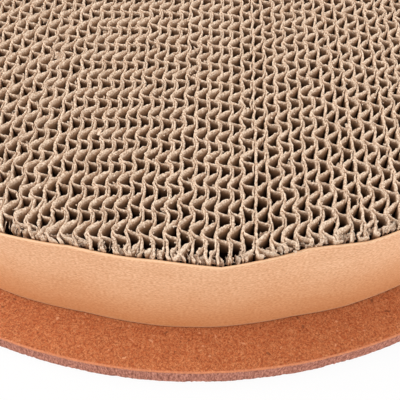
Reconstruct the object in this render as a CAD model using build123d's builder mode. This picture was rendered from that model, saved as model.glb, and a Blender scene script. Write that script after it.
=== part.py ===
"""Round cardboard cat scratcher: corrugated strips on edge, a kraft wrap band and a fibreboard base."""

import os
from math import cos, pi, radians, sin, sqrt, tan

from build123d import *

os.makedirs("parts", exist_ok=True)

# base board, in millimetres
base_diameter = 260.0
base_thickness = 6.0
base_edge_break = 0.4
rim_width = 11.3

# adhesive under the pad
glue_thickness = 0.4
glue_margin = 4.0

# kraft band round the pad
band_height = 30.0
band_thickness = 0.5
band_clearance = 0.15
lap_length = 26.0
lap_ramp_length = 7.0
lap_start_angle = 80.0

# tape in the lap of the band
tape_thickness = 0.2
tape_clearance = 0.05
tape_edge_margin = 2.0

# corrugated board
core_proud = 2.5
strip_pitch = 2.72
strip_glue_line = 0.02
liner_thickness = 0.25
flute_thickness = 0.25
flute_pitch = 6.5
long_flank_angle = 38.0
short_flank_angle = 65.0

# lots of strips: number of the first strip, shift of its flutes and step to the next strip,
# the last two as shares of the flute pitch
lot_firsts = (-43, -13, -11, -9, -4, -1, 1, 5, 7, 11, 14, 17)
lot_shift_shares = (0.0, 0.0, 0.3, 0.54, 0.78, 0.66, 0.68, 0.78, 0.56, 0.98, 0.96, 0.06)
lot_step_shares = (0.32, 0.0, 0.24, 0.02, -0.09, 0.2, -0.04, 0.54, 0.15, -0.22, -0.13, 0.2)

# run past a face that is cut
overrun = 1.0

# sizes that follow from the ones above
base_radius = base_diameter / 2
band_outer_radius = base_radius - rim_width
band_inner_radius = band_outer_radius - band_thickness
core_radius = band_inner_radius - band_clearance
pad_floor = base_thickness + glue_thickness
core_height = band_height + core_proud
pair_count = int(core_radius / strip_pitch)
board_thickness = strip_pitch - strip_glue_line
flute_space = board_thickness - 2 * liner_thickness
flank_rise = flute_space - flute_thickness
long_flank_run = flank_rise / tan(radians(long_flank_angle))
short_flank_run = flank_rise / tan(radians(short_flank_angle))
crest_land = (flute_pitch - long_flank_run - short_flank_run) / 2
long_corner = flute_thickness / 2 * tan(radians(long_flank_angle / 2))
short_corner = flute_thickness / 2 * tan(radians(short_flank_angle / 2))
liner_place = (board_thickness - liner_thickness) / 2
smallest_scrap = flute_thickness * flute_pitch / 2


def flute_shift(place):
    """Shift of one strip's flutes along the strip, counted from the middle of the pad."""
    lot = max((index for index, first in enumerate(lot_firsts) if first <= place), default=0)
    share = lot_shift_shares[lot] + lot_step_shares[lot] * (place - lot_firsts[lot])
    return (share % 1.0) * flute_pitch


def around(radius, angle):
    """Point on a circle about the middle of the pad."""
    return (radius * cos(radians(angle)), radius * sin(radians(angle)))


def strip_middle(place):
    """Distance of one strip's mid plane from the middle of the pad."""
    return (place + 0.5) * strip_pitch


def strip_half_length(place):
    """Half the length of one strip, measured along its longer face."""
    near_face = abs(strip_middle(place)) - board_thickness / 2
    return sqrt(core_radius**2 - max(near_face, 0) ** 2)


def flute_outline(shift, half_length):
    """Corners of one fluted sheet seen from above: up its left side, then back down its right side."""
    count = int(half_length / flute_pitch) + 2
    outer, inner = flute_space / 2, flute_space / 2 - flute_thickness
    left_side = []
    right_side = []
    for step in range(-count, count + 1):
        left_start = shift + step * flute_pitch - crest_land / 2
        left_end = left_start + crest_land
        right_start = left_end + long_flank_run
        right_end = right_start + crest_land
        left_side.append((-outer, left_start - short_corner))
        left_side.append((-outer, left_end + long_corner))
        left_side.append((inner, right_start + long_corner))
        left_side.append((inner, right_end - short_corner))
        right_side.append((-inner, left_start + short_corner))
        right_side.append((-inner, left_end - long_corner))
        right_side.append((outer, right_start - long_corner))
        right_side.append((outer, right_end + short_corner))
    return left_side + right_side[::-1]


# base board
with BuildPart() as base_board:
    with BuildSketch(Plane.XY):
        Circle(base_radius)
    extrude(amount=base_thickness)
    chamfer(base_board.edges().group_by(Axis.Z)[-1], base_edge_break)
base_board.part.label = "base_board"
export_step(base_board.part, "parts/base_board.step")

# glue bed under the strips
with BuildPart() as glue_bed:
    with BuildSketch(Plane.XY.offset(base_thickness)):
        Circle(core_radius - glue_margin)
    extrude(amount=glue_thickness)
glue_bed.part.label = "glue_bed"
export_step(glue_bed.part, "parts/glue_bed.step")

# wrap band with its end lapped over its start
lap_gap = tape_thickness + 2 * tape_clearance
tail_inner_radius = band_outer_radius + lap_gap
tail_outer_radius = tail_inner_radius + band_thickness
lap_angle = lap_length / (2 * pi * band_outer_radius) * 360
ramp_angle = lap_ramp_length / (2 * pi * band_outer_radius) * 360
ramp_start_angle = lap_start_angle - ramp_angle
lap_end_angle = lap_start_angle + lap_angle
turn_angle = 360 - ramp_angle

with BuildPart() as wrap_band:
    with BuildSketch(Plane.XY.offset(pad_floor)):
        with BuildLine():
            CenterArc((0, 0), band_inner_radius, lap_start_angle, turn_angle)
            Line(around(band_inner_radius, ramp_start_angle), around(tail_inner_radius, lap_start_angle))
            CenterArc((0, 0), tail_inner_radius, lap_start_angle, lap_angle)
            Line(around(tail_inner_radius, lap_end_angle), around(tail_outer_radius, lap_end_angle))
            CenterArc((0, 0), tail_outer_radius, lap_start_angle, lap_angle)
            Line(around(tail_outer_radius, lap_start_angle), around(band_outer_radius, ramp_start_angle))
            CenterArc((0, 0), band_outer_radius, lap_start_angle, turn_angle)
            Line(around(band_outer_radius, lap_start_angle), around(band_inner_radius, lap_start_angle))
        make_face()
    extrude(amount=band_height)
wrap_band.part.label = "wrap_band"
export_step(wrap_band.part, "parts/wrap_band.step")

# tape between the two layers of the lap
tape_inner_radius = band_outer_radius + tape_clearance
tape_outer_radius = tape_inner_radius + tape_thickness
tape_margin_angle = tape_edge_margin / (2 * pi * band_outer_radius) * 360
tape_start_angle = lap_start_angle + tape_margin_angle
tape_end_angle = lap_end_angle - tape_margin_angle
tape_angle = tape_end_angle - tape_start_angle

with BuildPart() as lap_tape:
    with BuildSketch(Plane.XY.offset(pad_floor + tape_edge_margin)):
        with BuildLine():
            CenterArc((0, 0), tape_inner_radius, tape_start_angle, tape_angle)
            Line(around(tape_inner_radius, tape_end_angle), around(tape_outer_radius, tape_end_angle))
            CenterArc((0, 0), tape_outer_radius, tape_start_angle, tape_angle)
            Line(around(tape_outer_radius, tape_start_angle), around(tape_inner_radius, tape_start_angle))
        make_face()
    extrude(amount=band_height - 2 * tape_edge_margin)
lap_tape.part.label = "lap_tape"
export_step(lap_tape.part, "parts/lap_tape.step")


# corrugated strips, two neighbours in each node
for pair in range(pair_count):
    places = (2 * pair - pair_count, 2 * pair + 1 - pair_count)
    with BuildPart() as liners:
        with BuildSketch(Plane.XY.offset(pad_floor)):
            for place in places:
                liner_middles = (strip_middle(place) - liner_place, strip_middle(place) + liner_place)
                with Locations(*[(middle, 0) for middle in liner_middles]):
                    Rectangle(liner_thickness, 2 * core_radius + overrun)
            Circle(core_radius, mode=Mode.INTERSECT)
        extrude(amount=core_height)
    with BuildPart() as flutes:
        for place in places:
            outline = flute_outline(flute_shift(place), strip_half_length(place))
            with BuildSketch(Plane.XY.offset(pad_floor)) as fluted_sheet:
                with Locations((strip_middle(place), 0)):
                    Polygon(*outline, align=None)
                Circle(core_radius, mode=Mode.INTERSECT)
            pieces = fluted_sheet.sketch.faces()
            extrude([piece for piece in pieces if piece.area > smallest_scrap], amount=core_height)
    name = f"strip_pair_{pair + 1:02d}"
    strip_pair = Compound(label=name, children=[*liners.solids(), *flutes.solids()])
    export_step(strip_pair, f"parts/{name}.step", write_pcurves=False)
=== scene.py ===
import math
import bmesh
import bpy
import numpy as np
from mathutils import Matrix, Vector


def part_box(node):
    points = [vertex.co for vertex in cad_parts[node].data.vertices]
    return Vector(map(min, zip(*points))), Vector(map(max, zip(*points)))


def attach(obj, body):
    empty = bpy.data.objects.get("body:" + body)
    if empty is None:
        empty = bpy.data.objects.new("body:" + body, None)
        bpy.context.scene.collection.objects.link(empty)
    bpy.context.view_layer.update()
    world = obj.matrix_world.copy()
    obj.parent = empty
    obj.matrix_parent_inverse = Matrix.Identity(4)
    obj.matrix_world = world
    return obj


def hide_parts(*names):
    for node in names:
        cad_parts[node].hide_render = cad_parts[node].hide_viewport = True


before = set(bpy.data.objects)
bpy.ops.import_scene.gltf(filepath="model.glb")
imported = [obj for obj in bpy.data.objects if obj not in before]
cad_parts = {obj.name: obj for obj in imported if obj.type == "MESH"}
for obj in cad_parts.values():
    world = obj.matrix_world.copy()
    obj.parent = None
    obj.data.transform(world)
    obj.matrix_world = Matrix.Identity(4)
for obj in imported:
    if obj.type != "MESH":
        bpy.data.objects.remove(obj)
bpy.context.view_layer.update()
mm = 0.001
print("frame loaded,", len(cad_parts), "nodes")


def linear(hexText):
    channels = [int(hexText[i:i + 2], 16) / 255 for i in (1, 3, 5)]
    return [c / 12.92 if c <= 0.04045 else ((c + 0.055) / 1.055) ** 2.4 for c in channels] + [1.0]


def addNode(tree, kind, feeds=None, out=0, **setup):
    # adds a node, sets or links its inputs and gives back one of its outputs
    node = tree.nodes.new("ShaderNode" + kind)
    for name, value in setup.items():
        setattr(node, name, value)
    for name, value in (feeds or {}).items():
        if isinstance(value, bpy.types.NodeSocket):
            tree.links.new(value, node.inputs[name])
        else:
            node.inputs[name].default_value = value
    return node.outputs[out] if len(node.outputs) else None


def newMaterial(name):
    material = bpy.data.materials.new(name)
    material.use_nodes = True
    material.node_tree.nodes.clear()
    return material, material.node_tree


def layColours(tree, colour, layers):
    # lays further colours over the first, each by its own share
    for share, upper in layers:
        lower, upper = [linear(part) if isinstance(part, str) else part for part in (colour, upper)]
        colour = addNode(tree, "Mix", {0: share, 6: lower, 7: upper}, 2, data_type="RGBA")
    return colour


def mattSurface(tree, look, colour, pattern):
    # relief is the depth of the pattern in millimetres and the strength of its bump
    depth, strength = look["relief"]
    bump = addNode(tree, "Bump", {"Height": pattern, "Distance": depth * mm, "Strength": strength})
    feeds = {"Base Color": colour, "Roughness": look["roughness"], "Specular IOR Level": look["specular"]}
    shader = addNode(tree, "BsdfPrincipled", {**feeds, "Normal": bump})
    addNode(tree, "OutputMaterial", {"Surface": shader})


def fromAxis(tree, spot):
    # distance from the upright line through the middle of the pad
    flat = addNode(tree, "VectorMath", {0: spot, 1: (1, 1, 0)}, operation="MULTIPLY")
    return addNode(tree, "VectorMath", {0: flat}, "Value", operation="LENGTH")


def wobble(rng, along, span):
    # smooth random line between -1 and 1 with a knot every span
    place = (along - along.min()) / span
    knots = rng.uniform(-1, 1, int(place.max()) + 3)
    cell = place.astype(int)
    share = place - cell
    share = share * share * (3 - 2 * share)
    return knots[cell] * (1 - share) + knots[cell + 1] * share


def setPlaces(verts, spots):
    for vert, spot in zip(verts, (spots * mm).reshape(-1, 3).tolist()):
        vert.co = spot


def finishPiece(name, bm, materials, nodes):
    mesh = bpy.data.meshes.new(name)
    bm.to_mesh(mesh)
    bm.free()
    for material in materials:
        mesh.materials.append(material)
    piece = bpy.data.objects.new(name, mesh)
    bpy.context.scene.collection.objects.link(piece)
    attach(piece, "root")
    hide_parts(*nodes)


# sizes taken from the frame; lengths are in millimetres from here on
bandLow, bandHigh = (Vector(corner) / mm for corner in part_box("wrap_band"))
baseLow, baseHigh = (Vector(corner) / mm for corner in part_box("base_board"))
coreLow, coreHigh = (Vector(corner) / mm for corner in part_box("strip_pair_22"))
bandRadius = (bandHigh.x - bandLow.x) / 2
bandHeight = bandHigh.z - bandLow.z
baseRadius = (baseHigh.x - baseLow.x) / 2
padFloor = coreLow.z
padTop = coreHigh.z

# kraft band round the pad
band = {
    "thick": 0.5, "columns": 1400,
    "startAngle": 80.0, "lap": 26.0, "ramp": 7.0, "lapGap": 0.3,
    "heights": (0.0, 0.012, 0.05, 0.2, 0.4, 0.6, 0.75, 0.88, 0.97, 1.0),   # rows, as shares of the height
    # creases in front: degrees from the front, lean outwards at the top and at the foot
    "creases": ((-26, 0.2, 0.1), (-19, 0.75, 0.0), (-11, -0.55, -0.8), (-2, 0.05, 0.0), (4.4, 1.5, 0.1),
                (13.5, -0.95, -0.5), (20, 0.5, 0.2), (27, 0.2, 0.2)),
    "creaseTurn": 9.0,        # degrees between creases elsewhere
    "creaseShift": 2.5,       # degrees that such a crease may lie off its place
    "creaseDepth": 0.7,
    "creaseFoot": 0.4,        # share of the lean that reaches the foot
    "lastRoom": 4.0,          # degrees kept free before the first crease in front
    "foot": 0.25, "footRise": 0.6,   # the lower edge turns out a little, fading over this height
    "topDip": 0.2, "dipTurn": 5.0,   # unevenness of the upper edge, degrees between dips
    "seed": 5,
}


def bandCreases():
    rng = np.random.default_rng(band["seed"])
    front = np.array(band["creases"], float)
    lastTurn = front[0, 0] + 360 - band["lastRoom"]
    turns = np.arange(front[-1, 0] + band["creaseTurn"], lastTurn, band["creaseTurn"])
    turns = turns + rng.uniform(-band["creaseShift"], band["creaseShift"], len(turns))
    leans = rng.uniform(-band["creaseDepth"], band["creaseDepth"], len(turns))
    rest = np.stack([turns, leans, band["creaseFoot"] * leans], axis=1)
    return np.concatenate([front, rest]).T


creaseTurns, topLeans, footLeans = bandCreases()


def bandLean(angle, share):
    # how far the band leans outwards, by angle from the front and by share of its height
    top = np.interp(angle, creaseTurns, topLeans, period=360)
    foot = np.interp(angle, creaseTurns, footLeans, period=360)
    return foot + (top - foot) * np.clip(share, 0, 1) ** 2


def buildBand():
    # a grid up the inside and down the outside of the paper, its foot and its two ends closed
    rng = np.random.default_rng(band["seed"] + 1)
    inner = bandRadius - band["thick"]
    outerLength = 2 * math.pi * bandRadius
    lapTurn = band["lap"] / outerLength * 360
    rampTurn = band["ramp"] / outerLength * 360
    turn = np.linspace(0, 360 + lapTurn, band["columns"])
    step = np.clip((turn - (360 - rampTurn)) / rampTurn, 0, 1)
    radius = inner + step * (band["thick"] + band["lapGap"])
    angle = band["startAngle"] + turn
    topDip = band["topDip"] * wobble(rng, turn, band["dipTurn"]) - band["topDip"]
    rows = [(0, share) for share in band["heights"]] + [(1, share) for share in band["heights"][::-1]]
    bm = bmesh.new()
    made = bmesh.ops.create_grid(bm, x_segments=len(turn) - 1, y_segments=len(rows) - 1, size=0.5)["verts"]
    spots = np.zeros((len(rows), len(turn), 3))
    sheet = np.zeros((len(rows), len(turn), 2))
    for index, (side, share) in enumerate(rows):
        out = radius + side * band["thick"] + bandLean(angle + 90, share)
        out = out + band["foot"] * side * math.exp(-share * bandHeight / band["footRise"])
        spots[index, :, 0] = out * np.cos(np.radians(angle))
        spots[index, :, 1] = out * np.sin(np.radians(angle))
        spots[index, :, 2] = bandLow.z + share * bandHeight + topDip * share ** 3
        sheet[index, :, 0] = np.radians(turn) * bandRadius
        sheet[index, :, 1] = share * bandHeight
    setPlaces(made, spots)
    # the paper's own map: round the band and up, in metres
    uv = bm.loops.layers.uv.new("paper")
    flat = dict(zip(made, (sheet * mm).reshape(-1, 2).tolist()))
    for face in bm.faces:
        face.smooth = True
        for loop in face.loops:
            loop[uv].uv = flat[loop.vert]
    lowRow = (bandLow.z + band["heights"][1] * bandHeight / 2) * mm
    openEdges = [edge for edge in bm.edges if edge.is_boundary]
    lowEdges = [edge for edge in openEdges if max(vert.co.z for vert in edge.verts) < lowRow]
    bmesh.ops.bridge_loops(bm, edges=lowEdges)
    bmesh.ops.holes_fill(bm, edges=[edge for edge in bm.edges if edge.is_boundary], sides=0)
    bmesh.ops.recalc_face_normals(bm, faces=bm.faces)
    return bm


def smoothKraft():
    # machine-smoothed kraft liner: short fibres that lie round the pad, paler along its cut edges; painted
    # shade and a painted orange reflection of the base make it browner towards its foot
    look = {
        "pale": "#eebd93", "brown": "#d39465", "fleck": "#bd8054", "low": "#c27537", "cut": "#e8bb92",
        # size of a mark round the band and up it, detail of the noise
        "marks": {"streak": (14, 1.1, 3.0), "fibre": (0.7, 0.42, 4.0), "fleck": (0.8, 0.45, 1.0)},
        "cloud": 12,
        "toneShares": {"cloud": 0.14, "fibre": 0.65, "streak": 0.12},
        # the low colour is painted shade and a painted orange reflection of the base
        "footShadeRise": 0.75, "footShadeShare": 0.6,    # browner towards the foot: share of the height, of the colour
        "cutFade": 0.3, "cutFull": 0.05,     # the cut edges are paler over this width
        "roughness": 0.5, "specular": 0.6, "relief": (0.05, 0.15),
    }
    material, tree = newMaterial("smoothKraft")
    sheet = addNode(tree, "UVMap", uv_map="paper")
    spot = addNode(tree, "TexCoord", out="Object")
    cloudScale = 1 / (look["cloud"] * mm)
    patterns = {"cloud": addNode(tree, "TexNoise", {"Vector": spot, "Scale": cloudScale, "Detail": 3.0})}
    for name, (wide, high, detail) in look["marks"].items():
        scale = (1 / (wide * mm), 1 / (high * mm), 1)
        mapped = addNode(tree, "Mapping", {"Vector": sheet, "Scale": scale})
        patterns[name] = addNode(tree, "TexNoise", {"Vector": mapped, "Scale": 1.0, "Detail": detail})
    blend = 0.0
    for name, share in look["toneShares"].items():
        blend = addNode(tree, "Math", {0: patterns[name], 1: share, 2: blend}, operation="MULTIPLY_ADD")
    tone = addNode(tree, "MapRange", {"Value": blend, "From Min": 0.36, "From Max": 0.55})
    flecks = addNode(tree, "MapRange", {"Value": patterns["fleck"], "From Min": 0.62, "From Max": 0.8})
    height = bandHeight * mm
    rise = addNode(tree, "SeparateXYZ", {0: sheet}, "Y")
    # painted shade and a painted orange reflection of the base, strongest at the foot
    footShadeFeeds = {"From Min": look["footShadeRise"] * height, "From Max": 0.0, "To Max": look["footShadeShare"]}
    low = addNode(tree, "MapRange", {"Value": rise, **footShadeFeeds})
    fromMiddle = addNode(tree, "Math", {0: rise, 1: height / 2}, operation="SUBTRACT")
    fromMiddle = addNode(tree, "Math", {0: fromMiddle}, operation="ABSOLUTE")
    cutFeeds = {"From Min": height / 2 - look["cutFade"] * mm, "From Max": height / 2 - look["cutFull"] * mm}
    cut = addNode(tree, "MapRange", {"Value": fromMiddle, **cutFeeds})
    layers = [(tone, look["pale"]), (flecks, look["fleck"]), (low, look["low"]), (cut, look["cut"])]
    mattSurface(tree, look, layColours(tree, look["brown"], layers), patterns["fibre"])
    return material


finishPiece("kraft_wrap_band", buildBand(), [smoothKraft()], ["wrap_band"])
print("kraft band built")

# corrugated strips
strips = {
    "pitch": 2.72,            # board to board
    "eachSide": 43,           # strips on each side of the middle
    "flutePitch": 6.5,
    # one flute along the strip, as shares of the flute pitch: from the left liner (-1) up a long
    # flank to the right one (1), and back over a short flank
    "flute": ((0.0, -0.93), (0.03, -0.85), (0.1, -0.5), (0.26, 0.5), (0.33, 0.85), (0.38, 1.0), (0.775, 1.0),
              (0.79, 0.6), (0.81, 0.0), (0.84, -0.55), (0.905, -1.0), (0.97, -1.0), (1.0, -0.93)),
    "fluteSoft": 0.012,       # rounds the corners of the flute
    # lots of strips: first strip, shift of its flutes, step to the next strip, as shares of the flute pitch
    "lots": ((-43, 0.0, 0.32), (-13, 0.0, 0.0), (-11, 0.3, 0.24), (-9, 0.54, 0.02), (-4, 0.78, -0.09),
             (-1, 0.66, 0.2), (1, 0.68, -0.04), (5, 0.78, 0.54), (7, 0.56, 0.15), (11, 0.98, -0.22),
             (14, 0.96, -0.13), (17, 0.06, 0.2)),
    # uneven gluing: strip, how far it lies to the right of its even place
    "drifts": ((-43, 0.0), (-30, 0.5), (-12, 1.0), (-1, 0.0), (5, 0.0), (17, 0.9), (43, 0.0)),
    "linerHalf": 0.25,        # two glued liners, half their thickness
    "fluteHalf": 0.125,
    "glueGap": 0.02,          # between a crest and its liner
    "push": 0.5,              # how far a crest pushes a liner aside
    "pushVary": (0.8, 0.4, 11.0),             # share of it, more or less, length between changes
    "linerWander": ((0.2, 17.0), (0.09, 3.1)),   # how far aside, length between turns
    "fluteWander": (0.3, 9.0),
    "crestVary": (0.95, 0.05, 4.0),
    "bandGap": 0.65,          # strip ends stay this far inside the band's outside
    "endShort": (0.1, 0.6),   # gap to the band that a folded end bridges
    "lineHalf": 125.0, "lineStep": 0.1,       # sampled lines, longer than any strip
    "step": 0.44, "fewestColumns": 8,         # columns along a sheet
    "bendDepth": 4.0, "wallDepth": 1.5, "lipDepth": 0.35,   # rows under the cut edge
    "topDrop": 0.3, "topUneven": (0.1, 5.0),  # the cut lies under the pad's top, and wanders
    "linerDrop": 0.15,        # the liners end lower than the fluted sheets
    "cutRough": (0.07, 0.2),  # unevenness of the sawn top, most of it
    "lean": 0.8,              # the saw bent the long flanks over, to the left and back
    "leanVary": (0.2, 1.6), "leanSlope": 0.55,   # more or less, slope from which a flank leans fully
    "linerFray": 0.06, "fluteFray": 0.03, "longFray": 0.14,   # swelling of the sawn lips
    "frayVary": (0.45, 0.9),
    "fuzzy": (0.06, -0.12, 0.16),             # roughness of a lip, least and most
    "crown": 0.45,            # width of the lip at its very top, as a share
    "pinch": 0.02,            # thickness left at the two ends of a sheet, as a share
    "endReach": 2.6,          # how far the crushed ends at the band go in
    "endFold": (0.3, 1.1), "foldStart": 0.1, "foldPoints": 5,   # the band folded the ends aside
    "foldBack": 0.35,         # share of the ends that are folded clockwise
    "endBend": 1.1, "endBendSpan": 9.0,       # sideways at the band, length along it between bends
    "rimStep": 0.5,
    "splay": (0.3, 3.0),
    "rip": 2.3, "ripVary": (0.7, 0.3, 1.2),   # how much lower the crushed ends are torn off
    "smoothBelow": 1.0,       # walls are smooth this far under the pad's top, the sawn lips are not
    "seed": 11, "lineSeed": 500, "rimSeed": 900,
}
padRadius = bandRadius - strips["bandGap"]


def fluteShift(place):
    first, shift, step = [lot for lot in strips["lots"] if lot[0] <= max(place, strips["lots"][0][0])][-1]
    return ((shift + step * (place - first)) % 1.0) * strips["flutePitch"]


def stripWave(place, along):
    turns = (along - fluteShift(place)) / strips["flutePitch"]
    steps, sides = np.array(strips["flute"]).T
    softened = (-strips["fluteSoft"], strips["fluteSoft"])
    return np.mean([np.interp((turns + back) % 1.0, steps, sides) for back in softened], axis=0)


lineAlong = np.arange(-strips["lineHalf"], strips["lineHalf"] + strips["lineStep"] / 2, strips["lineStep"])


def linerLine(edge):
    # a crest glued to a liner pushes it aside, from the left and from the right
    rng = np.random.default_rng(strips["seed"] * 1000 + edge + strips["lineSeed"])
    fromLeft = (1 + stripWave(edge - 1, lineAlong)) / 2
    fromRight = (1 - stripWave(edge, lineAlong)) / 2
    even, spread, span = strips["pushVary"]
    push = strips["push"] * (even + spread * wobble(rng, lineAlong, span))
    wander = sum(depth * wobble(rng, lineAlong, length) for depth, length in strips["linerWander"])
    uneven = np.interp(edge, *np.array(strips["drifts"]).T)
    return edge * strips["pitch"] + uneven + push * (fromLeft - fromRight) + wander


linerLines = {edge: linerLine(edge) for edge in range(-strips["eachSide"], strips["eachSide"] + 1)}


def linerAt(edge, along):
    return np.interp(along, lineAlong, linerLines[edge])


def halfChord(x):
    return math.sqrt(max(padRadius ** 2 - x ** 2, 0))


def evenSteps(x, y):
    # the same line with its points a step apart along the paper
    run = np.concatenate([[0], np.cumsum(np.hypot(np.diff(x), np.diff(y)))])
    marks = np.linspace(0, run[-1], max(int(run[-1] / strips["step"]), strips["fewestColumns"]))
    return np.interp(marks, run, x), np.interp(marks, run, y), marks


def foldEnds(rng, x, y):
    # both ends of a sheet turn aside and follow the band
    points = strips["foldPoints"]
    for end in (0, -1):
        radius = math.hypot(x[end], y[end])
        side = rng.choice((-1, 1), p=(strips["foldBack"], 1 - strips["foldBack"]))
        aside = np.linspace(strips["foldStart"], rng.uniform(*strips["endFold"]), points)
        angles = math.atan2(y[end], x[end]) + side * aside / radius
        reach = padRadius - strips["foldStart"] + bandLean(math.degrees(angles[0]) + 90, 1.0)
        radii = np.linspace(radius, reach, points)
        foldX, foldY = radii * np.cos(angles), radii * np.sin(angles)
        if end == 0:
            x, y = np.concatenate([foldX[::-1], x]), np.concatenate([foldY[::-1], y])
        else:
            x, y = np.concatenate([x, foldX]), np.concatenate([y, foldY])
    return x, y


rimRng = np.random.default_rng(strips["seed"] + strips["rimSeed"])
rimAlong = np.arange(0, 2 * math.pi * padRadius, strips["rimStep"])
rimBends = strips["endBend"] * wobble(rimRng, rimAlong, strips["endBendSpan"])


def endBend(x, y):
    # neighbouring ends are bent the same way
    return np.interp((np.arctan2(y, x) % (2 * math.pi)) * padRadius, rimAlong, rimBends)


def keepInside(spots):
    # sheets end short of the band and follow its creases
    reach = np.maximum(np.hypot(spots[..., 0], spots[..., 1]), 1e-6)
    angle = np.degrees(np.arctan2(spots[..., 1], spots[..., 0])) + 90
    limit = padRadius + bandLean(angle, (spots[..., 2] - bandLow.z) / bandHeight)
    inside = np.minimum(1, limit / reach)
    spots[..., 0] *= inside
    spots[..., 1] *= inside


def foldSheet(bm, rng, x, y, half, fray, drop=0.0, lean=0.0, longFray=0.0):
    # a sheet of paper on edge: a grid folded over its sawn top edge, pinched together at both ends
    x, y, along = evenSteps(*foldEnds(rng, x, y))
    count = len(along)
    turnX, turnY = np.gradient(x), np.gradient(y)
    length = np.hypot(turnX, turnY)
    across, back = turnY / length, -turnX / length
    # crushed ends
    endNear = np.exp(-np.minimum(along, along[-1] - along) / strips["endReach"])
    splay, splaySpan = strips["splay"]
    x = x + endNear * (endBend(x, y) + splay * wobble(rng, along, splaySpan))
    uneven, unevenSpan = strips["topUneven"]
    top = padTop - strips["topDrop"] - drop + rng.uniform(-uneven, uneven)
    top = top + uneven * wobble(rng, along, unevenSpan)
    ripped, rippedMore, ripSpan = strips["ripVary"]
    top = top - endNear * strips["rip"] * (ripped + rippedMore * wobble(rng, along, ripSpan))
    # long flanks lean over and fray more
    longFlank = np.clip(-back / strips["leanSlope"], 0, 1)
    leanMore, leanSpan = strips["leanVary"]
    leaning = lean * longFlank * (1 + leanMore * wobble(rng, along, leanSpan))
    swell = fray + longFray * longFlank
    swellMore, swellSpan = strips["frayVary"]
    closed = np.ones(count)
    closed[0] = closed[-1] = strips["pinch"]

    def ragged():
        rough, least, most = strips["fuzzy"]
        lip = half + swell * (1 + swellMore * wobble(rng, along, swellSpan))
        return lip + rng.normal(0, rough, count).clip(least, most)

    def sawn(depth):
        rough, most = strips["cutRough"]
        return top - depth + rng.normal(0, rough, count).clip(-most, most)

    right, left = ragged(), ragged()
    bend, wall, lip, crown = (strips[name] for name in ("bendDepth", "wallDepth", "lipDepth", "crown"))
    floor = np.full(count, padFloor)
    rows = [(half, floor), (half, top - bend), (half, top - wall),
            (right, sawn(lip)), (right * crown, sawn(0)), (-left * crown, sawn(0)), (-left, sawn(lip)),
            (-half, top - wall), (-half, top - bend), (-half, floor)]
    made = bmesh.ops.create_grid(bm, x_segments=count - 1, y_segments=len(rows) - 1, size=0.5)["verts"]
    spots = np.zeros((len(rows), count, 3))
    for index, (offset, height) in enumerate(rows):
        offset = offset * closed - leaning * np.clip(1 - (top - height) / bend, 0, 1) ** 2
        spots[index, :, 0] = x + offset * across
        spots[index, :, 1] = y + offset * back
        spots[index, :, 2] = height
    keepInside(spots)
    setPlaces(made, spots)


# torn paper on the strips; a pair is the least and the most of a size, or of a turn in radians
torn = {
    "anyTurn": (0, 6.28),
    "flakeCells": (4, 3), "flakeThick": 0.16, "flakeRough": 0.11,
    "flakeCurl": (0.5, 1.7),   # height of the curl, radians for each millimetre of width
    # caught in some cells; along is a share of the flute pitch
    "caught": {"share": 0.05, "along": (0.2, 0.8), "depth": (0.6, 1.9), "tilt": (-1.2, 1.2),
               "width": (1.2, 2.0), "length": (0.9, 1.6)},
    # hanging by the right liner over short flanks
    "hanging": {"share": 0.35, "flank": 0.88, "along": (-0.3, 0.5), "aside": (0.4, 0.7), "depth": (0.7, 1.1),
                "facing": (-2.4, -1.4), "tilt": (0.2, 0.8), "width": (0.5, 0.9), "length": (0.7, 1.3)},
    "endRoom": 3.0,            # no such flakes this near the far end of a strip
    # upright flakes where the strips end at the band
    "rim": {"count": 3, "inward": (0.8, 1.6), "rise": (-0.7, 0.5), "facing": (-0.9, 0.9), "tilt": (-0.1, 0.7),
            "width": (0.8, 1.7), "length": (1.2, 2.2)},
    # crumbs of sawn paper along the cut edges: count for the longest strip, mean and spread of the height
    "crumbs": {"count": 90, "endRoom": 1.0, "aside": 0.24, "rise": (-0.45, 0.12), "size": (0.1, 0.26)},
    # fuzz on the crushed ends
    "fuzz": {"count": 9, "inward": 1.0, "aside": 0.25, "rise": (-0.45, 0.15), "size": (0.12, 0.3)},
    "crumbStretch": (0.45, 1.3), "crumbRough": 0.2,
}


def addCrumb(bits, rng, spot, size):
    made = bmesh.ops.create_icosphere(bits, subdivisions=1, radius=size * mm)["verts"]
    stretch = Matrix.Diagonal((*rng.uniform(*torn["crumbStretch"], 3), 1))
    turn = Matrix.Rotation(rng.uniform(*torn["anyTurn"]), 4, Vector(rng.normal(0, 1, 3)))
    place = Matrix.Translation(Vector(spot) * mm) @ turn @ stretch
    for vert in made:
        vert.co = place @ vert.co + Vector(rng.normal(0, torn["crumbRough"] * size * mm, 3))


def addFlake(bits, rng, spot, kind, turn):
    width, length = rng.uniform(*kind["width"]), rng.uniform(*kind["length"])
    columns, rows = torn["flakeCells"]
    rise, bend = torn["flakeCurl"]
    verts = bmesh.ops.create_grid(bits, x_segments=columns, y_segments=rows, size=0.5)["verts"]
    place = Matrix.Translation(Vector(spot) * mm) @ turn
    for vert in verts:
        flat = Vector((vert.co.x * width, vert.co.y * length, rise * math.sin(vert.co.x * width * bend)))
        vert.co = place @ ((flat + Vector(rng.normal(0, torn["flakeRough"], 3))) * mm)
    faces = list(dict.fromkeys(face for vert in verts for face in vert.link_faces))
    bmesh.ops.solidify(bits, geom=faces, thickness=torn["flakeThick"] * mm)


def upright(angle, tilt):
    # turns a flat flake upright to face an angle seen from above, leaning back a little
    return Matrix.Rotation(angle + math.pi / 2, 4, "Z") @ Matrix.Rotation(math.pi / 2 - tilt, 4, "X")


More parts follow.
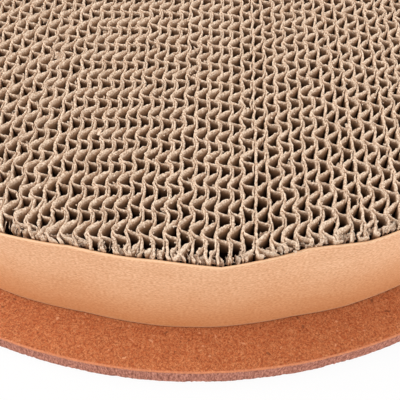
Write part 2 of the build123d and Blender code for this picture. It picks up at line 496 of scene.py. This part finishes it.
def tearCells(bits, rng, place, end, y, left, right):
    pitch, shift = strips["flutePitch"], fluteShift(place)
    caught, hanging = torn["caught"], torn["hanging"]
    for start in np.arange(shift - pitch * int((end + shift) / pitch), end - torn["endRoom"], pitch):
        if rng.random() < caught["share"]:
            spotY = start + rng.uniform(*caught["along"]) * pitch
            spot = (np.interp(spotY, y, (left + right) / 2), spotY, padTop - rng.uniform(*caught["depth"]))
            turn = Matrix.Rotation(rng.uniform(*torn["anyTurn"]), 4, "Z")
            addFlake(bits, rng, spot, caught, turn @ Matrix.Rotation(rng.uniform(*caught["tilt"]), 4, "X"))
        if rng.random() < hanging["share"]:
            spotY = start + hanging["flank"] * pitch + rng.uniform(*hanging["along"])
            spotX = np.interp(spotY, y, right) - rng.uniform(*hanging["aside"])
            spot = (spotX, spotY, padTop - rng.uniform(*hanging["depth"]))
            turn = upright(rng.uniform(*hanging["facing"]), rng.uniform(*hanging["tilt"]))
            addFlake(bits, rng, spot, hanging, turn)


def tearEnds(bits, rng, place, end):
    rim = torn["rim"]
    for side in (-1, 1) * rim["count"]:
        angle = math.atan2(side * end, (place + rng.uniform(0, 1)) * strips["pitch"])
        reach = padRadius + bandLean(math.degrees(angle) + 90, 1.0) - rng.uniform(*rim["inward"])
        spot = (reach * math.cos(angle), reach * math.sin(angle), bandHigh.z + rng.uniform(*rim["rise"]))
        turn = upright(angle + rng.uniform(*rim["facing"]), rng.uniform(*rim["tilt"]))
        addFlake(bits, rng, spot, rim, turn)


def scatterCrumbs(bits, rng, end, y, left, x):
    crumbs, fuzz = torn["crumbs"], torn["fuzz"]
    reach = end - crumbs["endRoom"]
    for count in range(int(crumbs["count"] * end / padRadius)):
        spotY = rng.uniform(-reach, reach)
        spotX = np.interp(spotY, y, left if rng.random() < 0.5 else x) + rng.normal(0, crumbs["aside"])
        spotZ = padTop + rng.normal(*crumbs["rise"])
        addCrumb(bits, rng, (spotX, spotY, spotZ), rng.uniform(*crumbs["size"]))
    for side in (-1, 1) * fuzz["count"]:
        inward = rng.exponential(fuzz["inward"])
        near = math.exp(-inward / strips["endReach"])
        spotY = side * (end - inward)
        spotX = np.interp(spotY, y, left if rng.random() < 0.5 else x)
        spotX += near * endBend(spotX, spotY) + rng.normal(0, fuzz["aside"])
        mean, spread = fuzz["rise"]
        spotZ = padTop + mean - strips["ripVary"][0] * strips["rip"] * near + rng.normal(0, spread)
        addCrumb(bits, rng, (spotX, spotY, spotZ), rng.uniform(*fuzz["size"]))


def buildStrip(bm, bits, place, rng):
    # liner on the strip's left, and on its right too at the last strip
    edges = [place] if place < strips["eachSide"] - 1 else [place, place + 1]
    for edge in edges:
        end = halfChord(edge * strips["pitch"]) - rng.uniform(*strips["endShort"])
        y = np.arange(-end, end, strips["lineStep"])
        foldSheet(bm, rng, linerAt(edge, y), y, strips["linerHalf"], strips["linerFray"], strips["linerDrop"])
    # fluted sheet between two liners
    end = halfChord((place + 0.5) * strips["pitch"]) - rng.uniform(*strips["endShort"])
    y = np.arange(-end, end, strips["lineStep"])
    left, right = linerAt(place, y), linerAt(place + 1, y)
    wander, wanderSpan = strips["fluteWander"]
    wave = stripWave(place, y + wander * wobble(rng, y, wanderSpan))
    room = (right - left) / 2 - strips["linerHalf"] - strips["fluteHalf"] - strips["glueGap"]
    even, spread, span = strips["crestVary"]
    x = (left + right) / 2 + wave * room * (even + spread * wobble(rng, y, span))
    foldSheet(bm, rng, x, y, strips["fluteHalf"], strips["fluteFray"],
              lean=strips["lean"], longFray=strips["longFray"])
    tearCells(bits, rng, place, end, y, left, right)
    tearEnds(bits, rng, place, end)
    scatterCrumbs(bits, rng, end, y, left, x)


def corrugatedKraft():
    # raw kraft paper: pale and grainy where sawn, browner on the walls of the cells, with painted shade that
    # darkens the walls to near black deeper down the cells
    look = {
        # the deep colour is painted shade deep in the cells; the dusty colour is the walls' own
        "paintedDeepShade": "#361c0f", "dusty": "#b8916f", "cut": "#efd8c0", "cutDark": "#b08d71",
        "grain": 0.4, "mottle": 2.4,         # sizes of a blotch
        # near the band the painted shade is lifted, so the crushed ends stay pale
        "rimReach": 5.0, "rimRaise": 1.4,    # the crushed ends at the band are lower and just as pale
        # heights from the pad's top at which the colour starts and is full, and how far it wanders; the first
        # row takes the walls from the painted shade up to their own colour
        "paintedDepthShade": (-3.1, 0.4, 2.5), "sawn": (-1.15, 0.0, 0.9),
        "roughness": 0.92, "specular": 0.15, "relief": (0.1, 0.5),
    }
    material, tree = newMaterial("corrugatedKraft")
    spot = addNode(tree, "TexCoord", out="Object")
    grain = addNode(tree, "TexNoise", {"Vector": spot, "Scale": 1 / (look["grain"] * mm), "Detail": 3.0})
    mottle = addNode(tree, "TexNoise", {"Vector": spot, "Scale": 1 / (look["mottle"] * mm), "Detail": 2.0})
    rimFeeds = {"From Min": (padRadius - look["rimReach"]) * mm, "From Max": padRadius * mm}
    nearRim = addNode(tree, "MapRange", {"Value": fromAxis(tree, spot), **rimFeeds})
    height = addNode(tree, "SeparateXYZ", {0: spot}, "Z")
    heightFeeds = {0: nearRim, 1: look["rimRaise"] * mm, 2: height}
    height = addNode(tree, "Math", heightFeeds, operation="MULTIPLY_ADD")
    shares = {}
    for name, pattern in (("paintedDepthShade", mottle), ("sawn", grain)):
        start, full, wander = look[name]
        level = addNode(tree, "Math", {0: pattern, 1: wander * mm, 2: height}, operation="MULTIPLY_ADD")
        levelFeeds = {"From Min": (padTop + start) * mm, "From Max": (padTop + full) * mm}
        shares[name] = addNode(tree, "MapRange", {"Value": level, **levelFeeds})
    # painted shade: the walls darken from their own colour to near black deeper in the cells
    wall = layColours(tree, look["paintedDeepShade"], [(shares["paintedDepthShade"], look["dusty"])])
    tone = addNode(tree, "MapRange", {"Value": grain, "From Min": 0.32, "From Max": 0.62})
    sawn = layColours(tree, look["cutDark"], [(tone, look["cut"])])
    mattSurface(tree, look, layColours(tree, wall, [(shares["sawn"], sawn)]), grain)
    return material


def tornKraft():
    # torn kraft fibres, as pale as the sawn edges
    look = {
        "pale": "#ead5bf", "shade": "#b28f73", "fuzz": 0.4,
        "roughness": 0.95, "specular": 0.1, "relief": (0.1, 0.5),
    }
    material, tree = newMaterial("tornKraft")
    spot = addNode(tree, "TexCoord", out="Object")
    fuzz = addNode(tree, "TexNoise", {"Vector": spot, "Scale": 1 / (look["fuzz"] * mm), "Detail": 3.0})
    tone = addNode(tree, "MapRange", {"Value": fuzz, "From Min": 0.35, "From Max": 0.6})
    mattSurface(tree, look, layColours(tree, look["shade"], [(tone, look["pale"])]), fuzz)
    return material


def buildPair(pair):
    rng = np.random.default_rng(strips["seed"] + pair)
    bm, bits = bmesh.new(), bmesh.new()
    for place in (2 * pair - strips["eachSide"], 2 * pair + 1 - strips["eachSide"]):
        buildStrip(bm, bits, place, rng)
    bmesh.ops.recalc_face_normals(bits, faces=bits.faces)
    for face in bits.faces:
        face.material_index = 1
    loose = bpy.data.meshes.new("looseBits")
    bits.to_mesh(loose)
    bits.free()
    bm.from_mesh(loose)
    bpy.data.meshes.remove(loose)
    for face in bm.faces:
        face.smooth = face.verts[0].co.z < (padTop - strips["smoothBelow"]) * mm
    return bm


boardPapers = [corrugatedKraft(), tornKraft()]
for pair in range(strips["eachSide"]):
    node = f"strip_pair_{pair + 1:02d}"
    finishPiece(f"corrugated_{node}", buildPair(pair), boardPapers, [node])
print("corrugated strips built")

# base board
base = {
    "steps": 1500, "topArris": 0.5, "lowArris": 0.3,
    "arrisRound": ((0.1, 0.5), (0.4, 0.12)),  # inwards and down, as shares of the upper arris
    "edgeRows": (0.35, 0.65),                 # as shares of the thickness
    "fringe": 0.35,           # fibres stand out past the sawn edge
    "flats": (3.0, 4.0),      # last ring of the underside and of the top, inwards from the edge
    "mergeGap": 0.002,
    "saw": 0.07, "topSaw": 0.3,               # depth of the saw marks, share of it left on the upper arris
    "sawnMarks": 0.9, "sawnFaces": 0.8,       # the sawn edge ends this share of the arris under the top
    "sawnReach": 0.4,
    "raggedUp": 0.3, "raggedMost": 0.7,       # torn lower arris: how high
    "raggedSpan": 9.0, "raggedFrom": -0.2,    # steps between torn and whole lengths, more whole when higher
    "raggedFoot": (0.1, 0.5),                 # the lowest vertices, and the share of it that lifts them
    "edgeWidth": 1.0,         # marks stay this near the edge
    "seed": 3,
}
baseRim = baseRadius + base["fringe"]


def buildBase():
    rng = np.random.default_rng(base["seed"])
    thick = baseHigh.z - baseLow.z
    low, high = base["lowArris"], base["topArris"]
    lowFlat, topFlat = base["flats"]
    rim = baseRim
    # half section from the middle of the underside round the edge to the middle of the top
    section = [(0, 0), (rim - lowFlat, 0), (rim - low, 0), (rim, low)]
    section += [(rim, thick * share) for share in base["edgeRows"]]
    section += [(rim, thick - high)]
    section += [(rim - inward * high, thick - down * high) for inward, down in base["arrisRound"]]
    section += [(rim - high, thick), (rim - topFlat, thick), (0, thick)]
    bm = bmesh.new()
    verts = [bm.verts.new((reach * mm, 0, height * mm)) for reach, height in section]
    edges = [bm.edges.new(pairOf) for pairOf in zip(verts[:-1], verts[1:])]
    bmesh.ops.spin(bm, geom=verts + edges, cent=(0, 0, 0), axis=(0, 0, 1), angle=2 * math.pi,
                   steps=base["steps"], use_merge=True, use_duplicate=False)
    bmesh.ops.remove_doubles(bm, verts=bm.verts, dist=base["mergeGap"] * mm)
    bmesh.ops.recalc_face_normals(bm, faces=bm.faces)
    # saw marks run down the edge, and the lower arris is ragged
    turnStep = 2 * math.pi / base["steps"]
    marks = rng.normal(0, base["saw"], base["steps"] + 1)
    broad = wobble(rng, np.arange(base["steps"] + 1.0), base["raggedSpan"])
    ragged = np.abs(rng.normal(0, base["raggedUp"], base["steps"] + 1)) * (broad > base["raggedFrom"])
    footHeight, footShare = base["raggedFoot"]
    for vert in bm.verts:
        reach = math.hypot(vert.co.x, vert.co.y)
        if reach < (rim - base["edgeWidth"]) * mm:
            continue
        index = int(round((math.atan2(vert.co.y, vert.co.x) % (2 * math.pi)) / turnStep)) % base["steps"]
        onEdge = vert.co.z < (thick - base["sawnMarks"] * high) * mm
        pull = 1 - (abs(marks[index]) * (1 if onEdge else base["topSaw"])) * mm / reach
        vert.co.x *= pull
        vert.co.y *= pull
        if vert.co.z < base["edgeWidth"] * mm:
            lift = min(ragged[index], base["raggedMost"]) * mm
            vert.co.z += lift * (1 if vert.co.z > footHeight * mm else footShare)
    for face in bm.faces:
        centre = face.calc_center_median()
        outside = math.hypot(centre.x, centre.y) > (rim - base["sawnReach"]) * mm
        underArris = centre.z < (thick - base["sawnFaces"] * high) * mm
        face.material_index = 1 if outside and underArris else 0
        face.smooth = face.material_index == 0
    return bm


def pressedFibre():
    # hard fibreboard: fine pressed fibres, speckled red-brown, paler along its upper arris
    look = {
        "dark": "#8c421e", "brown": "#b05e33", "fibre": "#d99765", "arris": "#e0936c",
        "paleSpeck": "#dca27a", "darkSpeck": "#5f2c14",
        "grain": 0.55, "blotch": 6, "blotchShare": 0.12, "speck": 1.1,
        "fibres": ((1.2, 0.55), (0.7, 0.5)), "fibreWidth": 0.045,   # size of a curl, share of its colour
        # noise at which a speck starts and is full, share of its colour
        "specks": {"paleSpeck": (0.8, 0.84, 0.5), "darkSpeck": (0.2, 0.16, 0.6)},
        "paleArris": (0.55, 0.25, 0.5),         # inwards from the edge: starts, is full, share of its colour
        "roughness": 0.75, "specular": 0.25, "relief": (0.08, 0.35),
    }
    material, tree = newMaterial("pressedFibreboard")
    spot = addNode(tree, "TexCoord", out="Object")
    fine = addNode(tree, "TexNoise", {"Vector": spot, "Scale": 1 / (look["grain"] * mm), "Detail": 4.0})
    blotch = addNode(tree, "TexNoise", {"Vector": spot, "Scale": 1 / (look["blotch"] * mm), "Detail": 2.0})
    blend = addNode(tree, "Math", {0: blotch, 1: look["blotchShare"], 2: fine}, operation="MULTIPLY_ADD")
    tone = addNode(tree, "MapRange", {"Value": blend, "From Min": 0.45, "From Max": 0.67})
    layers = [(tone, look["brown"])]
    # fibres are the thin lines where a twisted noise crosses its middle
    for curl, share in look["fibres"]:
        feeds = {"Vector": spot, "Scale": 1 / (curl * mm), "Detail": 1.0, "Distortion": 1.5}
        offMiddle = addNode(tree, "Math", {0: addNode(tree, "TexNoise", feeds), 1: 0.5}, operation="SUBTRACT")
        offMiddle = addNode(tree, "Math", {0: offMiddle}, operation="ABSOLUTE")
        feeds = {"Value": offMiddle, "From Min": look["fibreWidth"], "From Max": 0.0, "To Max": share}
        layers.append((addNode(tree, "MapRange", feeds), look["fibre"]))
    # a few stray specks, pale and dark
    specks = addNode(tree, "TexNoise", {"Vector": spot, "Scale": 1 / (look["speck"] * mm), "Detail": 0.0})
    for name, (start, full, share) in look["specks"].items():
        feeds = {"Value": specks, "From Min": start, "From Max": full, "To Max": share}
        layers.append((addNode(tree, "MapRange", feeds), look[name]))
    # a paler band just inside the upper arris
    start, full, share = look["paleArris"]
    feeds = {"From Min": (baseRim - start) * mm, "From Max": (baseRim - full) * mm, "To Max": share}
    paleArris = addNode(tree, "MapRange", {"Value": fromAxis(tree, spot), **feeds})
    layers.append((paleArris, look["arris"]))
    mattSurface(tree, look, layColours(tree, look["dark"], layers), fine)
    return material


def sawnFibre():
    # sawn edge of the fibreboard: greyer, with marks across its thickness
    look = {
        "dark": "#7a4435", "pale": "#cb8b76", "mark": (0.4, 0.4, 1.3),
        "roughness": 0.85, "specular": 0.2, "relief": (0.08, 0.4),
    }
    material, tree = newMaterial("sawnFibreboard")
    spot = addNode(tree, "TexCoord", out="Object")
    scale = [1 / (size * mm) for size in look["mark"]]
    mapped = addNode(tree, "Mapping", {"Vector": spot, "Scale": scale})
    marks = addNode(tree, "TexNoise", {"Vector": mapped, "Scale": 1.0, "Detail": 4.0})
    tone = addNode(tree, "MapRange", {"Value": marks, "From Min": 0.32, "From Max": 0.68})
    mattSurface(tree, look, layColours(tree, look["dark"], [(tone, look["pale"])]), marks)
    return material


finishPiece("fibreboard_base", buildBase(), [pressedFibre(), sawnFibre()], ["base_board"])
print("base board built")


def driedGlue():
    # pale adhesive that soaked unevenly into the board
    look = {
        "thin": "#c9a074", "thick": "#e3cfa6", "pool": 5.0,
        "roughness": 0.45, "specular": 0.4, "relief": (0.15, 0.4),
    }
    material, tree = newMaterial("driedAdhesive")
    spot = addNode(tree, "TexCoord", out="Object")
    pools = addNode(tree, "TexNoise", {"Vector": spot, "Scale": 1 / (look["pool"] * mm), "Detail": 3.0})
    tone = addNode(tree, "MapRange", {"Value": pools, "From Min": 0.35, "From Max": 0.65})
    mattSurface(tree, look, layColours(tree, look["thin"], [(tone, look["thick"])]), pools)
    return material


def tissueTape():
    # double-sided tissue tape: off-white with a faint fibre
    look = {
        "paper": "#e9e2d2", "thread": "#d3c7ae", "fibre": (0.8, 0.8, 2.5),
        "roughness": 0.6, "specular": 0.3, "relief": (0.03, 0.3),
    }
    material, tree = newMaterial("tissueTape")
    spot = addNode(tree, "TexCoord", out="Object")
    scale = [1 / (size * mm) for size in look["fibre"]]
    mapped = addNode(tree, "Mapping", {"Vector": spot, "Scale": scale})
    fibre = addNode(tree, "TexNoise", {"Vector": mapped, "Scale": 1.0, "Detail": 3.0})
    tone = addNode(tree, "MapRange", {"Value": fibre, "From Min": 0.35, "From Max": 0.65})
    mattSurface(tree, look, layColours(tree, look["thread"], [(tone, look["paper"])]), fibre)
    return material


for name, material in (("glue_bed", driedGlue()), ("lap_tape", tissueTape())):
    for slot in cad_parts[name].material_slots:
        slot.material = material
print("adhesive and tape finished")

# floor, light and camera; these lengths are in metres
studio = {
    "floorHalf": 3.0, "floorDrop": 0.0003,
    "floorGrey": "#e7e7e7", "white": "#ffffff",
    "floorWhite": 0.93,       # share of plain white in the floor that the camera sees
    "skyLight": 0.63,         # strength of the even light from all round
    "aim": (0, -0.05, 0.02),
    # area lamps: place, size, watts
    "lamps": {
        "key": ((-0.65, 0.05, 0.75), 0.5, 4.4),
        "frontLeft": ((-1.0, -0.42, 0.35), 0.5, 5.6),
        "frontRight": ((1.0, -0.5, 0.25), 0.5, 5.5),
        "top": ((0.3, -0.15, 0.95), 0.6, 1.5),
    },
    # camera as in the photograph: its place, lens and sensor in millimetres, its right, up and forward
    "camera": (0.00477, -0.1872, 0.15329), "lens": 59.59, "sensor": 36.0, "clipStart": 0.005,
    "right": (0.99942, 0.02927, 0.01753),
    "up": (-0.03399, 0.81046, 0.58481),
    "forward": (-0.00291, 0.58506, -0.81098),
}


def seenBehind(tree):
    # 1 for what the camera, shiny and clear surfaces see behind the object, 0 for what lights it
    seen = 0.0
    for kind in ("Is Camera Ray", "Is Glossy Ray", "Is Transmission Ray"):
        ray = addNode(tree, "LightPath", out=kind)
        seen = addNode(tree, "Math", {0: seen, 1: ray}, operation="MAXIMUM")
    return seen


def paleFloor():
    # seen from the camera it is nearly white, and it keeps the object's shadow
    material, tree = newMaterial("paleFloor")
    share = addNode(tree, "Math", {0: seenBehind(tree), 1: studio["floorWhite"]}, operation="MULTIPLY")
    glow = addNode(tree, "Emission", {"Color": linear(studio["white"]), "Strength": 1.0})
    cloth = addNode(tree, "BsdfDiffuse", {"Color": linear(studio["floorGrey"])})
    mixed = addNode(tree, "MixShader", {0: share, 1: cloth, 2: glow})
    addNode(tree, "OutputMaterial", {"Surface": mixed})
    return material


floorShape = bmesh.new()
bmesh.ops.create_grid(floorShape, x_segments=1, y_segments=1, size=studio["floorHalf"])
mesh = bpy.data.meshes.new("floor")
floorShape.to_mesh(mesh)
floorShape.free()
mesh.materials.append(paleFloor())
floor = bpy.data.objects.new("floor", mesh)
bpy.context.scene.collection.objects.link(floor)
floor.location.z = -studio["floorDrop"]

# even light from all round, seen as white
world = bpy.data.worlds.new("studio")
bpy.context.scene.world = world
world.use_nodes = True
sky = world.node_tree
sky.nodes.clear()
strength = addNode(sky, "MapRange", {"Value": seenBehind(sky), "To Min": studio["skyLight"], "To Max": 1.0})
glow = addNode(sky, "Background", {"Color": linear(studio["white"]), "Strength": strength})
addNode(sky, "OutputWorld", {"Surface": glow})

for name, (place, size, power) in studio["lamps"].items():
    data = bpy.data.lights.new(name, "AREA")
    data.size = size
    data.energy = power
    lamp = bpy.data.objects.new(name, data)
    bpy.context.scene.collection.objects.link(lamp)
    lamp.location = place
    lamp.rotation_euler = (Vector(studio["aim"]) - Vector(place)).to_track_quat("-Z", "Y").to_euler()

cameraData = bpy.data.cameras.new("camera")
cameraData.sensor_width = studio["sensor"]
cameraData.lens = studio["lens"]
cameraData.clip_start = studio["clipStart"]
camera = bpy.data.objects.new("camera", cameraData)
bpy.context.scene.collection.objects.link(camera)
turn = Matrix((studio["right"], studio["up"], [-part for part in studio["forward"]])).transposed()
camera.matrix_world = Matrix.Translation(studio["camera"]) @ turn.to_4x4()
bpy.context.scene.camera = camera
bpy.context.scene.view_settings.view_transform = "Standard"
print("studio set up")
